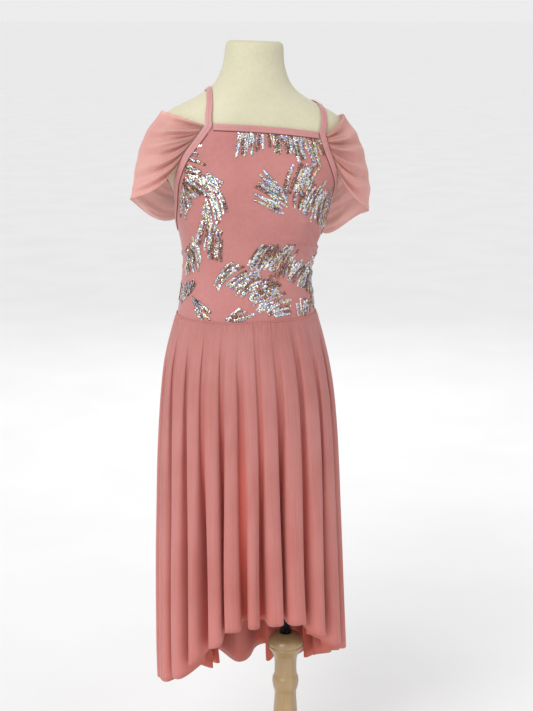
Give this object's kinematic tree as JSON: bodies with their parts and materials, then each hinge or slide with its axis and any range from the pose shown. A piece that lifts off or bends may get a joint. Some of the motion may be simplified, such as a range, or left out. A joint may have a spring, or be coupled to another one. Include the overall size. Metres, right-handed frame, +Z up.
{
  "type": "ballet dress on a dress form",
  "caption": "Child's ballet dress with thin straps, draped cap sleeves, sequinned bodice and long gathered high-low mesh skirt, on a limbless cloth form over a turned wooden stand.",
  "frame": {"origin": "centre of the stand base's underside, on the floor and on the rod's axis", "axes": "+Z up the rod, the dress faces -Y, +X is the wearer's left"},
  "size_m": [0.4449, 0.36, 1.4012],
  "materials": {
    "stand_wood": "turned pale wood with a clear satin lacquer",
    "rod_metal": "black gloss tube",
    "form_jersey": "cream jersey stretched smooth over a firm form",
    "bodice_stretch": "dusty rose stretch cloth with a soft sheen, sprays of sequins on the front",
    "binding_stretch": "folded dusty rose stretch binding with a soft sheen",
    "soft_mesh": "fine sheer coral stretch mesh, matt"
  },
  "bodies": {
    "root": {"stand_base": "stand_wood", "stand_pole": "stand_wood", "stand_rod": "rod_metal", "dress_form": "form_jersey", "bodice_front": "bodice_stretch", "bodice_back": "bodice_stretch", "neck_binding_front": "binding_stretch", "neck_binding_back": "binding_stretch", "armhole_strap_right": "binding_stretch", "armhole_strap_left": "binding_stretch", "sleeve_right": "soft_mesh", "sleeve_left": "soft_mesh", "skirt_front": "soft_mesh", "skirt_back": "soft_mesh", "brief_front": "bodice_stretch", "brief_back": "bodice_stretch", "brief_gusset": "bodice_stretch"}
  },
  "joints": []
}
